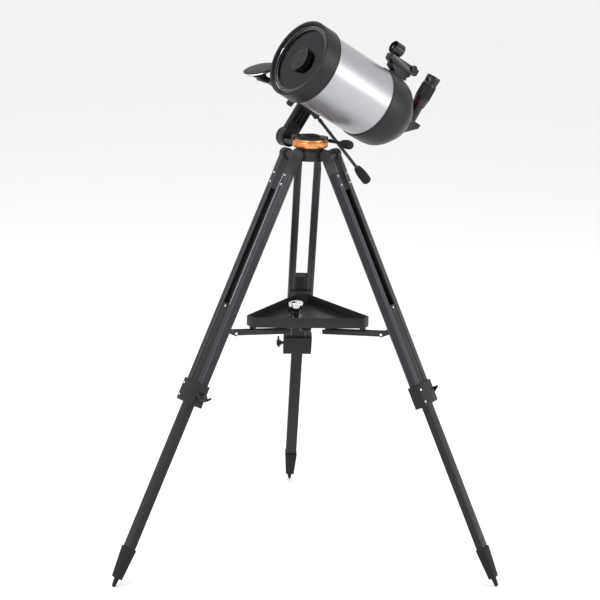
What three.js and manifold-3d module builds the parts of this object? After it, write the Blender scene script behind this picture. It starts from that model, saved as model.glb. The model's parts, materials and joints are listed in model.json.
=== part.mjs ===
// Schmidt-Cassegrain telescope on a one-arm altazimuth mount with an aluminium tripod.
// Millimetres, +Z up. The origin is on the floor at the middle of the object's box.
// The rear leg points to +Y and the front legs stand at -150 and -30 degrees.

import * as THREE from 'three';
import { mergeVertices } from 'three/addons/utils/BufferGeometryUtils.js';
import Module from 'manifold-3d';

const wasm = await Module();
wasm.setup();

// ---------------------------------------------------------------- driving dimensions
const GAP = 0.3;                    // clearance between pieces that touch

// tripod
const LEG_ANGLES = [-150, -30, 90];
const HINGE_RADIUS = 54.4;          // leg hinge axis from the tripod axis
const HINGE_HEIGHT = 1001.2;
const FOOT_RADIUS = 529.1;          // foot tip from the tripod axis
const AXIS_Y = -132.6;              // tripod axis from the middle of the object's box
const LEG_LEAN = Math.atan2(FOOT_RADIUS - HINGE_RADIUS, HINGE_HEIGHT);
const RAIL_WIDTH = 17.5;
const RAIL_DEPTH = 20;
const RAIL_WALL = 2.2;
const RAIL_SPACING = 30;            // clear width between a leg's two rails
const RAIL_TOP = 46;
const RAIL_BOTTOM = 629;
const LOWER_LEG_WIDTH = 29.2;
const LOWER_LEG_DEPTH = 18;
const LOWER_LEG_TOP = 385;
const LOWER_LEG_BOTTOM = 1030;
const CLAMP_TOP = 585;
const CLAMP_BOTTOM = 639;
const FOOT_BALL = 5.5;              // radius of the foot's round tip
const LUG_WIDTH = 25;               // hub lug between a top bracket's two ears
const EAR_WIDTH = 18.5;
const EAR_RADIUS = 14;
const LUG_CLEARANCE = 14;           // the ears widen their gap this far below the hinge
const PLUG_BOTTOM = 90;             // end of the top bracket's plug inside each rail

// spreader and tray
const ARM_PIVOT_RADIUS = 208;       // spreader arm's hinge on the leg
const ARM_PIVOT_HEIGHT = 583;
const ARM_INNER_RADIUS = 30;        // where the spreader arm meets the spreader hub
const ARM_INNER_HEIGHT = 566;
const ARM_CLEARANCE = 19;           // the arm ends this far short of that, so the open pivot has room
const SPREADER_HUB_RADIUS = 14;
const TRAY_BASE = 592;
const TRAY_HEIGHT = 25;
const TRAY_CORNER_RADIUS = 162;
const TRAY_CORNER_WIDTH = 28;

// mount head
const HEADING = 212.81;             // where the telescope points, in degrees from +X
const RING_RADIUS = 42.6;
const RING_BASE = 1017;
const RING_TOP = 1036;
const TURNTABLE_TOP = 1041;
const TURNTABLE_FOOT_TOP = 1027;    // the foot beside the ring, between the turntable and the elbow
const ELBOW_NEAR = -84;             // the elbow barrel stands on the side away from the tube
const ELBOW_FAR = -111;
const ELBOW_Z = 1028;
const ELBOW_RADIUS = 23.5;
const ARM_NEAR = -88;               // the arm's face towards the tube
const ARM_FAR = -104;
const ARM_MIDDLE = (ARM_NEAR + ARM_FAR) / 2;
const ARM_WIDTH = 40;
const WORM_DROP = 51;               // altitude worm below the altitude axis, along the arm
const WORM_HOUSING_RADIUS = 9;
const WORM_TILT = THREE.MathUtils.degToRad(9.8);   // how far the worm leans off the arm's cross direction
const AZIMUTH_WORM = [-46.5, 2, 1030];               // outer end of the azimuth worm's housing
const HINGE_PIN_RADIUS = 4;         // pin that joins a top bracket's ears through the hub's lug

// optical tube, measured back from the front face along the optical axis
const TUBE_FRONT = [78.4, 50, 1237];
const ALTITUDE = 28.57;             // elevation of the optical axis at rest, degrees
const PIVOT_U = 190;                // altitude axis behind the front face
const ALTITUDE_X = TUBE_FRONT[0] - PIVOT_U * Math.cos(THREE.MathUtils.degToRad(ALTITUDE));
const ALTITUDE_Z = TUBE_FRONT[2] - PIVOT_U * Math.sin(THREE.MathUtils.degToRad(ALTITUDE));
const RING_OUTER = 95;              // front ring radius
const REAR_OUTER = 91.5;            // rear cell radius where it meets the tube
const TUBE_OUTER = 88.5;
const TUBE_WALL = 1.5;
const FRONT_RING_LENGTH = 45;
const REAR_CELL_START = 233.5;
const REAR_FACE = 345;              // flat back of the rear cell
const FINDER_HOOD_RADIUS = 16.5;
const SADDLE_KNOB_X = -122;
const SADDLE_KNOB_TILT = THREE.MathUtils.degToRad(20);
const MIRROR_AT = [-15, -148, -39]; // middle of the dock's mirror
const DOCK_MIRROR_RADIUS = 37;
const MIRROR_COVER_RADIUS = 39.5;
const DOCK_BOTTOM = -16;            // underside of the phone shelf
const FOCUS_Y = -8;                 // focus knob on the rear cell's back
const FOCUS_Z = -38;
const DIAGONAL_START = 357.6;
const EYEPIECE_U = 377;
const DIAGONAL_TURN = THREE.MathUtils.degToRad(-9);   // the diagonal leans to the telescope's left

// ---------------------------------------------------------------- materials
function finish(color, roughness, metalness) {
  return new THREE.MeshStandardMaterial({ color, roughness, metalness });
}

const blackMetal = finish(0x1b1c1f, 0.5, 0.6);
const blackPlastic = finish(0x17181a, 0.6, 0.0);
const rubber = finish(0x141414, 0.85, 0.0);
const anodised = finish(0x2b2c30, 0.45, 0.8);
const copper = finish(0xc4713a, 0.3, 0.9);
const silver = finish(0x9a9aa0, 0.4, 0.7);
const steel = finish(0xc8c8c8, 0.25, 1.0);
const mirrorGlass = finish(0xe6e9ec, 0.05, 1.0);
const clearGlass = finish(0x8fa6b5, 0.05, 0.0);

// ---------------------------------------------------------------- solid helpers

// Welds a geometry's vertices, drops slivers and makes its faces point outwards.
function weld(geometry) {
  const bare = geometry.clone();
  bare.deleteAttribute('normal');
  bare.deleteAttribute('uv');
  const welded = mergeVertices(bare, 1e-4);
  const position = welded.getAttribute('position');
  const old = welded.getIndex().array;
  const index = [];
  let volume = 0;
  const a = new THREE.Vector3();
  const b = new THREE.Vector3();
  const c = new THREE.Vector3();
  for (let i = 0; i < old.length; i += 3) {
    const [p, q, s] = [old[i], old[i + 1], old[i + 2]];
    if (p === q || q === s || s === p) continue;
    index.push(p, q, s);
    a.fromBufferAttribute(position, p);
    b.fromBufferAttribute(position, q);
    c.fromBufferAttribute(position, s);
    volume += a.dot(b.cross(c));
  }
  if (volume < 0) index.reverse();
  welded.setIndex(index);
  return welded;
}

function toSolid(geometry) {
  const welded = weld(geometry);
  const vertProperties = new Float32Array(welded.getAttribute('position').array);
  const triVerts = new Uint32Array(welded.getIndex().array);
  return new wasm.Manifold(new wasm.Mesh({ numProp: 3, vertProperties, triVerts }));
}

function toGeometry(solid) {
  const mesh = solid.getMesh();
  const geometry = new THREE.BufferGeometry();
  geometry.setAttribute('position', new THREE.BufferAttribute(mesh.vertProperties, 3));
  geometry.setIndex(new THREE.BufferAttribute(mesh.triVerts, 1));
  return geometry;
}

function join(first, ...others) {
  return toGeometry(others.reduce((sum, next) => sum.add(toSolid(next)), toSolid(first)));
}

function cut(first, ...others) {
  return toGeometry(others.reduce((rest, next) => rest.subtract(toSolid(next)), toSolid(first)));
}

// A box from its lowest and highest corners.
function block(x0, x1, y0, y1, z0, z1) {
  const box = new THREE.BoxGeometry(x1 - x0, y1 - y0, z1 - z0);
  return box.translate((x0 + x1) / 2, (y0 + y1) / 2, (z0 + z1) / 2);
}

// A turned solid about Z, from [radius, height] points.
function turnZ(profile, segments = 24) {
  const points = profile.map(([radius, height]) => new THREE.Vector2(radius, height));
  return new THREE.LatheGeometry(points, segments).rotateX(Math.PI / 2);
}

// A turned solid about the optical axis, from [distance behind the front face, radius] points.
function turnU(profile, segments = 36) {
  const points = profile.map(([distance, radius]) => new THREE.Vector2(radius, distance));
  return new THREE.LatheGeometry(points, segments).rotateZ(Math.PI / 2);
}

// Closes a ring's profile on itself.
function ring(profile) {
  return [...profile, profile[0]];
}

function cylinderX(radius, x0, x1, y = 0, z = 0, segments = 24) {
  const rod = new THREE.CylinderGeometry(radius, radius, x1 - x0, segments).rotateZ(-Math.PI / 2);
  return rod.translate((x0 + x1) / 2, y, z);
}

function cylinderY(radius, y0, y1, x = 0, z = 0, segments = 24) {
  const rod = new THREE.CylinderGeometry(radius, radius, y1 - y0, segments);
  return rod.translate(x, (y0 + y1) / 2, z);
}

function cylinderZ(radius, z0, z1, x = 0, y = 0, segments = 24) {
  const rod = new THREE.CylinderGeometry(radius, radius, z1 - z0, segments).rotateX(Math.PI / 2);
  return rod.translate(x, y, (z0 + z1) / 2);
}

// An outline in XZ, given a thickness along Y from y0 to y1.
function plateXZ(outline, y0, y1) {
  const shape = new THREE.Shape(outline.map(([x, z]) => new THREE.Vector2(x, z)));
  const plate = new THREE.ExtrudeGeometry(shape, { depth: y1 - y0, bevelEnabled: false });
  return plate.rotateX(Math.PI / 2).translate(0, y1, 0);
}

// An outline in XY, given a height along Z from z0 to z1.
function plateXY(outline, z0, z1) {
  const shape = new THREE.Shape(outline.map(([x, y]) => new THREE.Vector2(x, y)));
  const plate = new THREE.ExtrudeGeometry(shape, { depth: z1 - z0, bevelEnabled: false });
  return plate.translate(0, 0, z0);
}

// A rectangle's corners, with the given half width and half height.
function rectangle(halfX, halfY) {
  return [[-halfX, -halfY], [halfX, -halfY], [halfX, halfY], [-halfX, halfY]];
}

const object = new THREE.Group();

function place(name, geometry, material, parent) {
  const mesh = new THREE.Mesh(weld(geometry), material);
  mesh.name = name;
  parent.add(mesh);
  return mesh;
}

function frame(parent, position, rotation = [0, 0, 0]) {
  const group = new THREE.Group();
  group.position.set(...position);
  group.rotation.set(...rotation);
  parent.add(group);
  return group;
}

// ---------------------------------------------------------------- tripod
const tripod = frame(object, [0, AXIS_Y, 0]);
const SPINDLE_RADIUS = 8;

function buildHub() {
  const top = RING_BASE - GAP;
  let hub = turnZ([[0, 986], [40, 986], [40, 1009], [33, 1010], [33, top], [0, top]]);
  for (const angle of LEG_ANGLES) {
    const lug = join(
      block(0, HINGE_RADIUS, -LUG_WIDTH / 2, LUG_WIDTH / 2, HINGE_HEIGHT - 11, HINGE_HEIGHT + 8),
      cylinderY(11, -LUG_WIDTH / 2, LUG_WIDTH / 2, HINGE_RADIUS, HINGE_HEIGHT),
    );
    hub = join(hub, lug.rotateZ(THREE.MathUtils.degToRad(angle)));
  }
  const bores = [cylinderZ(SPINDLE_RADIUS + GAP, 980, 1020)];
  for (const angle of LEG_ANGLES) {
    const pinHole = cylinderY(HINGE_PIN_RADIUS + GAP, -LUG_WIDTH, LUG_WIDTH, HINGE_RADIUS, HINGE_HEIGHT, 20);
    bores.push(pinHole.rotateZ(THREE.MathUtils.degToRad(angle)));
  }
  place('tripod_hub', cut(hub, ...bores), blackMetal, tripod);
}

// A leg's frame has X outwards, Y along the hinge axis and Z up the leg, with the hinge at its origin.
// The top bracket's two ears hold the hub's lug, and a plug below each ear goes into its rail.
function buildTopBracket() {
  const half = LUG_WIDTH / 2 + GAP;
  const outer = half + EAR_WIDTH;
  const depth = RAIL_DEPTH / 2 + 1;
  const plugDepth = RAIL_DEPTH / 2 - RAIL_WALL - GAP;
  const plugInner = RAIL_SPACING / 2 + GAP;
  const plugOuter = RAIL_SPACING / 2 + RAIL_WIDTH - RAIL_WALL - GAP;
  const pieces = [cylinderY(HINGE_PIN_RADIUS, -outer + 1, outer - 1, 0, 0, 20)];
  for (const side of [-1, 1]) {
    const [y0, y1] = [side * half, side * outer].sort((a, b) => a - b);
    const [p0, p1] = [side * plugInner, side * plugOuter].sort((a, b) => a - b);
    pieces.push(cylinderY(EAR_RADIUS, y0, y1, 0, 0));
    const [b0, b1] = [side * RAIL_SPACING / 2, side * outer].sort((a, b) => a - b);
    pieces.push(block(-depth, depth, y0, y1, -LUG_CLEARANCE, 0));
    pieces.push(block(-depth, depth, b0, b1, -RAIL_TOP + GAP, -LUG_CLEARANCE + 1));
    pieces.push(block(-plugDepth, plugDepth, p0, p1, -PLUG_BOTTOM, -RAIL_TOP + 2));
  }
  return join(...pieces);
}

// A rail is a channel whose open side faces the middle of the leg.
function buildRail(side) {
  const inner = RAIL_SPACING / 2;
  const outer = inner + RAIL_WIDTH;
  const half = RAIL_DEPTH / 2;
  const outline = [
    [-half, inner], [-half, outer], [half, outer], [half, inner],
    [half - RAIL_WALL, inner], [half - RAIL_WALL, outer - RAIL_WALL],
    [-half + RAIL_WALL, outer - RAIL_WALL], [-half + RAIL_WALL, inner],
  ];
  return plateXY(outline.map(([x, y]) => [x, y * side]), -RAIL_BOTTOM, -RAIL_TOP);
}

function buildLowerLeg() {
  const shape = new THREE.Shape(
    rectangle(LOWER_LEG_DEPTH / 2, LOWER_LEG_WIDTH / 2).map(([x, y]) => new THREE.Vector2(x, y)),
  );
  const hollow = rectangle(LOWER_LEG_DEPTH / 2 - 2.2, LOWER_LEG_WIDTH / 2 - 2.2);
  shape.holes.push(new THREE.Path(hollow.map(([x, y]) => new THREE.Vector2(x, y))));
  const depth = LOWER_LEG_BOTTOM - LOWER_LEG_TOP;
  const tube = new THREE.ExtrudeGeometry(shape, { depth, bevelEnabled: false });
  return tube.translate(0, 0, -LOWER_LEG_BOTTOM);
}

function buildClamp() {
  const railHalf = RAIL_SPACING / 2 + RAIL_WIDTH + GAP;
  const depthHalf = RAIL_DEPTH / 2 + GAP;
  const body = block(-depthHalf - 4, depthHalf + 4, -railHalf - 4, railHalf + 4, -CLAMP_BOTTOM, -CLAMP_TOP);
  const railPocket = block(-depthHalf, depthHalf, -railHalf, railHalf, -RAIL_BOTTOM - GAP, -CLAMP_TOP + 5);
  const legHole = block(
    -LOWER_LEG_DEPTH / 2 - GAP, LOWER_LEG_DEPTH / 2 + GAP,
    -LOWER_LEG_WIDTH / 2 - GAP, LOWER_LEG_WIDTH / 2 + GAP, -CLAMP_BOTTOM - 5, -RAIL_BOTTOM + 5,
  );
  return cut(body, railPocket, legHole);
}

function buildWingKnob() {
  const start = RAIL_SPACING / 2 + RAIL_WIDTH + 2 * GAP + 4;
  const z = -(CLAMP_TOP + CLAMP_BOTTOM) / 2;
  const stem = cylinderY(4, start, start + 8, 0, z, 16);
  const hub = cylinderY(8, start + 6, start + 18, 0, z, 20);
  const wings = plateXZ([[-20, z + 7], [-6, z - 4], [6, z - 4], [20, z + 7], [21, z + 1], [8, z - 9],
    [-8, z - 9], [-21, z + 1]].reverse(), start + 10, start + 15);
  return join(stem, hub, wings);
}

function buildFoot() {
  const socketTop = -LOWER_LEG_BOTTOM + 22;
  const capEnd = -1085;
  const upper = rectangle(13, 18);
  const lower = rectangle(9.5, 12.5);
  const points = [];
  for (const [x, y] of lower) points.push(x, y, capEnd);
  for (const [x, y] of upper) points.push(x, y, socketTop);
  const cap = new THREE.BufferGeometry();
  cap.setAttribute('position', new THREE.BufferAttribute(new Float32Array(points), 3));
  const faces = [0, 2, 1, 0, 3, 2, 4, 5, 6, 4, 6, 7];
  for (let i = 0; i < 4; i += 1) {
    const next = (i + 1) % 4;
    faces.push(i, next, next + 4, i, next + 4, i + 4);
  }
  cap.setIndex(faces);
  const socket = block(
    -LOWER_LEG_DEPTH / 2 - GAP, LOWER_LEG_DEPTH / 2 + GAP,
    -LOWER_LEG_WIDTH / 2 - GAP, LOWER_LEG_WIDTH / 2 + GAP, -LOWER_LEG_BOTTOM - GAP, socketTop + 5,
  );
  const tipCentre = -(HINGE_HEIGHT - FOOT_BALL) / Math.cos(LEG_LEAN);
  const peg = [[0, capEnd + 4], [7, capEnd + 4], [7, capEnd - 2], [FOOT_BALL, tipCentre]];
  for (let step = 1; step <= 4; step += 1) {
    const angle = (step * Math.PI) / 8;
    peg.push([step === 4 ? 0 : FOOT_BALL * Math.cos(angle), tipCentre - FOOT_BALL * Math.sin(angle)]);
  }
  return join(cut(cap, socket), turnZ(peg, 16));
}

// The spreader's hinge block stands on the leg's inner face and is riveted to the right-hand rail.
function pivotInLeg() {
  const dr = ARM_PIVOT_RADIUS - HINGE_RADIUS;
  const dz = ARM_PIVOT_HEIGHT - HINGE_HEIGHT;
  const cos = Math.cos(LEG_LEAN);
  const sin = Math.sin(LEG_LEAN);
  return [dr * cos + dz * sin, -dr * sin + dz * cos];
}

function buildSpreaderBracket() {
  const [x, z] = pivotInLeg();
  const face = -RAIL_DEPTH / 2;
  const base = cut(
    block(face - 4, face + 1, -26, 26, z - 22, z + 16),
    block(face - GAP, face + 5, -40, RAIL_SPACING / 2, z - 40, z + 40),
  );
  const ear = (y0, y1) => join(
    block(x, face - 2, y0, y1, z - 6, z + 6),
    cylinderY(6, y0, y1, x, z, 16),
  );
  return join(base, ear(-13, -10), ear(10, 13));
}

function buildSpreaderArm(leg) {
  const dx = ARM_INNER_RADIUS - ARM_PIVOT_RADIUS;
  const dz = ARM_INNER_HEIGHT - ARM_PIVOT_HEIGHT;
  const length = Math.hypot(dx, dz) - ARM_CLEARANCE;
  const half = 9;
  const channel = cut(
    block(0, length, -half, half, -6, 6),
    block(-1, length + 1, -half + 1.8, half - 1.8, -7, 4.2),
  );
  const group = frame(leg, [ARM_PIVOT_RADIUS, 0, ARM_PIVOT_HEIGHT], [0, Math.atan2(-dz, dx), 0]);
  return { channel, group };
}

function buildLeg(number, angle) {
  const spoke = frame(tripod, [0, 0, 0], [0, 0, THREE.MathUtils.degToRad(angle)]);
  const leg = frame(spoke, [HINGE_RADIUS, 0, HINGE_HEIGHT], [0, -LEG_LEAN, 0]);
  place(`top_bracket_${number}`, buildTopBracket(), blackMetal, leg);
  place(`rail_left_${number}`, buildRail(-1), anodised, leg);
  place(`rail_right_${number}`, join(buildRail(1), buildSpreaderBracket()), anodised, leg);
  place(`lower_leg_${number}`, buildLowerLeg(), anodised, leg);
  place(`leg_clamp_${number}`, buildClamp(), blackPlastic, leg);
  place(`wing_knob_${number}`, buildWingKnob(), blackPlastic, leg);
  place(`foot_${number}`, buildFoot(), rubber, leg);
  const arm = buildSpreaderArm(spoke);
  place(`spreader_arm_${number}`, arm.channel, blackMetal, arm.group);
}

// The tray's outline is a triangle whose cut corners face the legs.
function trayOutline(inset) {
  const outline = [];
  const half = TRAY_CORNER_WIDTH / 2 - inset * 0.3;
  for (const angle of LEG_ANGLES) {
    const turn = THREE.MathUtils.degToRad(angle);
    for (const side of [-half, half]) {
      const radius = TRAY_CORNER_RADIUS - inset;
      outline.push([
        radius * Math.cos(turn) - side * Math.sin(turn),
        radius * Math.sin(turn) + side * Math.cos(turn),
      ]);
    }
  }
  return outline;
}

function buildTray() {
  const pan = plateXY(trayOutline(0), TRAY_BASE, TRAY_BASE + TRAY_HEIGHT);
  const hollow = plateXY(trayOutline(2), TRAY_BASE + 2, TRAY_BASE + TRAY_HEIGHT + 5);
  const pads = LEG_ANGLES.map((angle) => block(148, 158, -8, 8, TRAY_BASE - 7, TRAY_BASE + 1)
    .rotateZ(THREE.MathUtils.degToRad(angle)));
  place('accessory_tray', join(cut(pan, hollow), ...pads), blackMetal, tripod);
}

const SPARE_X = -27;
const SPARE_Y = -24;

function buildSpareEyepiece() {
  const base = TRAY_BASE + 2 + GAP;
  const profile = [[0, base], [15.8, base], [15.8, base + 20], [17.5, base + 21], [17.5, base + 44],
    [15.5, base + 46], [0, base + 46]];
  const piece = place('spare_eyepiece', turnZ(profile, 24), steel, tripod);
  piece.position.set(SPARE_X, SPARE_Y, 0);
}

function buildSpreaderHub() {
  const z = ARM_INNER_HEIGHT;
  place('spreader_hub', cylinderZ(SPREADER_HUB_RADIUS, z - 4, z + 4), blackMetal, tripod);
}

buildHub();
LEG_ANGLES.forEach((angle, index) => buildLeg(index + 1, angle));
buildTray();
buildSpareEyepiece();
buildSpreaderHub();

// ---------------------------------------------------------------- mount head
// The head's frame has X along the heading, Y to the telescope's left and Z up.
const head = frame(object, [0, AXIS_Y, 0], [0, 0, THREE.MathUtils.degToRad(HEADING)]);

function buildAzimuth() {
  const copperRing = turnZ(ring([
    [22, RING_BASE], [RING_RADIUS - 2, RING_BASE], [RING_RADIUS, RING_BASE + 2],
    [RING_RADIUS, RING_BASE + 13],
    [RING_RADIUS - 2, RING_BASE + 15], [37.5, RING_BASE + 15.5], [37, RING_TOP], [22, RING_TOP],
  ]), 36);
  place('azimuth_ring', copperRing, copper, head);
  const cap = TURNTABLE_TOP + GAP;
  const spindle = turnZ([
    [0, 984], [SPINDLE_RADIUS, 984], [SPINDLE_RADIUS, cap], [26, cap],
    [25, cap + 2], [19, cap + 4.7], [10, cap + 6.2], [0, cap + 6.5],
  ]);
  place('azimuth_spindle', spindle, blackMetal, head);
}

function buildTurntable() {
  const base = RING_TOP + GAP;
  const top = TURNTABLE_TOP;
  const beside = -RING_RADIUS - 2;
  const disc = turnZ([[0, base], [36, base], [36, top - 2], [34, top], [0, top]]);
  const bridge = block(-19, 19, beside - 6, -20, base, top);
  const foot = block(-19, 19, ELBOW_FAR + 8, beside, 1016.5, TURNTABLE_FOOT_TOP);
  const step = block(-19, 19, beside - 6, beside, 1016.5, base + 1);
  const elbow = cylinderY(ELBOW_RADIUS, ELBOW_FAR, ELBOW_NEAR, 0, ELBOW_Z, 28);
  const armSeat = cylinderY(ELBOW_RADIUS + 2, ARM_FAR - GAP, ARM_NEAR + GAP, 0, ELBOW_Z, 28);
  const armCore = cylinderY(ELBOW_RADIUS - 7, ARM_FAR - GAP, ARM_NEAR + GAP, 0, ELBOW_Z, 28);
  const [wormX, wormY, wormZ] = AZIMUTH_WORM;
  const wormBlock = join(
    block(wormX - 5, -24, -22, wormY, base, base + 2),
    block(wormX - 5, -RING_RADIUS - 0.4, -22, wormY, wormZ - 6, base + 1),
  );
  const spindle = cylinderZ(SPINDLE_RADIUS + GAP, 1000, 1100);
  const body = join(disc, bridge, step, foot, elbow, wormBlock);
  place('turntable', cut(body, cut(armSeat, armCore), spindle), blackMetal, head);
}

// Along the arm, s is measured from the elbow's axis and n across it, towards the heading side.
const ARM_ANGLE = Math.atan2(ALTITUDE_Z - ELBOW_Z, ALTITUDE_X);
const ARM_LENGTH = Math.hypot(ALTITUDE_Z - ELBOW_Z, ALTITUDE_X);
const armFrame = frame(head, [0, 0, ELBOW_Z], [0, -ARM_ANGLE, 0]);

function buildArm() {
  const half = ARM_WIDTH / 2;
  const beam = block(0, ARM_LENGTH, ARM_FAR, ARM_NEAR, -half, half);
  const boss = cylinderY(26, ARM_FAR, ARM_NEAR, ARM_LENGTH, 0, 24);
  const clasp = cylinderY(ELBOW_RADIUS - 0.5, ARM_FAR, ARM_NEAR, 0, 0, 28);
  const core = cylinderY(ELBOW_RADIUS - 7 + GAP, ARM_FAR - 5, ARM_NEAR + 5, 0, 0, 28);
  const worm = ARM_LENGTH - WORM_DROP;
  const lean = (geometry) => geometry.rotateY(-WORM_TILT).translate(worm, ARM_MIDDLE, 0);
  const housing = lean(cylinderZ(WORM_HOUSING_RADIUS, -half - 4, half + 26));
  const wormBore = lean(cylinderZ(4.6, -half - 2, half + 32, 0, 0, 16));
  const pocket = (z) => block(38, worm - 20, ARM_NEAR - 4, ARM_NEAR + 5, z - 4, z + 4);
  const axle = cylinderY(12 + GAP, ARM_FAR - 5, ARM_NEAR + 5, ARM_LENGTH, 0, 24);
  const pockets = [-12, 0, 12].map(pocket);
  const body = cut(join(beam, boss, clasp, housing), core, wormBore, axle, ...pockets);
  place('arm', body, blackMetal, armFrame);
}

// A slow-motion control is a turned rod with a rubber grip. It starts at z = 0 and runs along +Z.
function buildControl(shaft, rodStart, gripStart, end, gripRadius) {
  const swell = gripStart + (end - gripStart) * 0.55;
  return turnZ([
    [0, 0], [3.2, 0], [3.2, shaft], [5, shaft + 1], [5, rodStart], [4.2, rodStart + 1], [4.2, gripStart],
    [gripRadius * 0.75, gripStart + 4], [gripRadius, swell], [gripRadius, end - 7], [gripRadius * 0.7, end],
    [0, end],
  ], 16);
}

function buildControls() {
  const start = ARM_WIDTH / 2;
  const altitude = place('altitude_control', buildControl(76, 86, 253, 306, 12.3), rubber, armFrame);
  altitude.position.set(ARM_LENGTH - WORM_DROP + start * Math.sin(WORM_TILT), ARM_MIDDLE,
    -start * Math.cos(WORM_TILT));
  altitude.rotation.y = -WORM_TILT;
  const azimuth = place('azimuth_control', buildControl(12, 17, 59, 96, 11), rubber, head);
  const [wormX, wormY, wormZ] = AZIMUTH_WORM;
  azimuth.position.set(wormX, wormY + GAP, wormZ);
  azimuth.rotation.x = -Math.PI / 2;
}

buildAzimuth();
buildTurntable();
buildArm();
buildControls();

// ---------------------------------------------------------------- optical tube
// In the tube's frame X points out of the front, Y to the telescope's left and Z up from the tube.
const tube = frame(head, TUBE_FRONT, [0, -THREE.MathUtils.degToRad(ALTITUDE), 0]);

function buildTubeAssembly() {
  place('front_cell', turnU(ring([
    [0, 88], [0, 94], [1.5, RING_OUTER], [FRONT_RING_LENGTH, RING_OUTER],
    [FRONT_RING_LENGTH, TUBE_OUTER + GAP], [20.4, TUBE_OUTER + GAP], [20.4, 74],
    [17.3, 74], [17.3, 80], [12, 80], [12, 86],
  ])), blackMetal, tube);
  const retaining = ring([[8.4, 76], [8.4, 85.6], [11.7, 85.6], [11.7, 76]]);
  place('retaining_ring', turnU(retaining), blackPlastic, tube);
  place('corrector_plate', turnU(ring([[12.3, 26], [12.3, 79.6], [17, 79.6], [17, 26]])), clearGlass, tube);
  place('secondary_holder', turnU([
    [1.5, 0], [1.5, 27.2], [0, 27.2], [0, 29.5], [5.5, 29.5], [5.5, 24.5], [9, 24.5], [9, 31], [12, 31],
    [12, 25.5], [30, 25.5], [30, 23.4], [27, 23.4], [27, 0],
  ], 32), blackPlastic, tube);
  place('secondary_mirror', turnU([[27.3, 0], [27.3, 23], [31.5, 23], [32, 0]], 32), mirrorGlass, tube);
  const inner = TUBE_OUTER - TUBE_WALL;
  const end = REAR_CELL_START - GAP;
  place('main_tube', turnU(ring([[20.7, inner], [20.7, TUBE_OUTER], [end, TUBE_OUTER], [end, inner]])),
    silver, tube);
  place('rear_cell', turnU(ring([
    [226, 83], [226, inner - GAP], [REAR_CELL_START, inner - GAP], [REAR_CELL_START, REAR_OUTER],
    [284, 90], [296, 88], [305, 84.5], [314, 79], [REAR_FACE - 6, 57], [REAR_FACE, 49], [REAR_FACE, 19.4],
    [REAR_FACE - 6, 19.4], [REAR_FACE - 6, 45], [307, 76], [296, 83],
  ])), blackMetal, tube);
  place('primary_mirror', turnU(ring([
    [282.5, 19.3], [279.5, 50], [277.8, 75], [294, 75], [294, 19.3],
  ])), mirrorGlass, tube);
  const port = REAR_FACE - GAP;
  place('baffle_tube', turnU(ring([[120, 15.6], [120, 17], [296, 18.8], [port, 18.8], [port, 16.8]]), 24),
    blackMetal, tube);
  const back = REAR_FACE + GAP;
  place('visual_back', turnU(ring([
    [back, 16.3], [back, 27], [back + 4, 27], [back + 6, 23], [back + 12, 23], [back + 12, 16.3],
  ]), 24), blackMetal, tube);
  const knob = turnZ([[0, 0], [10, 0], [11, 2], [11, 14], [9.5, 16], [0, 16]], 20).rotateY(-Math.PI / 2);
  const focusKnob = place('focus_knob', knob, blackPlastic, tube);
  focusKnob.position.set(-REAR_FACE - GAP, FOCUS_Y, FOCUS_Z);
}

// The diagonal turns the light towards +Z, with its mirror across the corner.
function buildDiagonal() {
  const front = -DIAGONAL_START;
  const body = plateXZ([
    [front, -20], [front - 5, -20], [-EYEPIECE_U - 23, 10], [-EYEPIECE_U - 23, 20], [front, 20],
  ], -19, 19);
  const nose = cylinderX(15.8, front - 2, front + 22);
  const lightIn = cylinderX(13, -EYEPIECE_U, front + 30);
  const lightUp = cylinderZ(16, 0, 50, -EYEPIECE_U);
  const turn = frame(tube, [0, 0, 0], [DIAGONAL_TURN, 0, 0]);
  place('star_diagonal', cut(join(body, nose), lightIn, lightUp), blackPlastic, turn);
  const profile = [[0, 3], [15.7, 3], [15.7, 20 + GAP], [14, 20 + GAP], [14, 56], [16.5, 60], [17, 68],
    [18.5, 76], [18.5, 116], [16.5, 119], [18, 137], [15.5, 139], [10, 139], [8, 133], [0, 133]];
  const eyepiece = place('eyepiece', turnZ(profile, 28), blackPlastic, turn);
  eyepiece.position.set(-EYEPIECE_U, 0, 0);
}

// The finder stands on the rear cell. Its window tube looks along the optical axis.
function buildFinder() {
  const saddleCut = cylinderX(REAR_OUTER + GAP, -340, -200, 0, 0, 64);
  const foot = join(
    block(-308, -266, -13, 13, 78, 98),
    plateXZ([[-306, 97], [-270, 97], [-252, 105], [-252, 112], [-316, 112], [-316, 105]], -11, 11),
  );
  place('finder_shoe', cut(foot, saddleCut), blackPlastic, tube);
  const body = plateXZ([
    [-334, 116], [-326, 112.3], [-250, 112.3], [-240, 117], [-240, 132], [-336, 132],
  ], -12, 12);
  place('finder_body', body, blackPlastic, tube);
  const hood = cylinderX(FINDER_HOOD_RADIUS, -267, -242, 0, 132 + GAP + FINDER_HOOD_RADIUS, 28);
  const window = cylinderX(FINDER_HOOD_RADIUS - 2.5, -270, -238, 0, 132 + GAP + FINDER_HOOD_RADIUS, 28);
  place('finder_hood', cut(hood, window), blackPlastic, tube);
  place('finder_dial', cylinderY(9, 12 + GAP, 17, -316, 127, 24), blackPlastic, tube);
}

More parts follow.
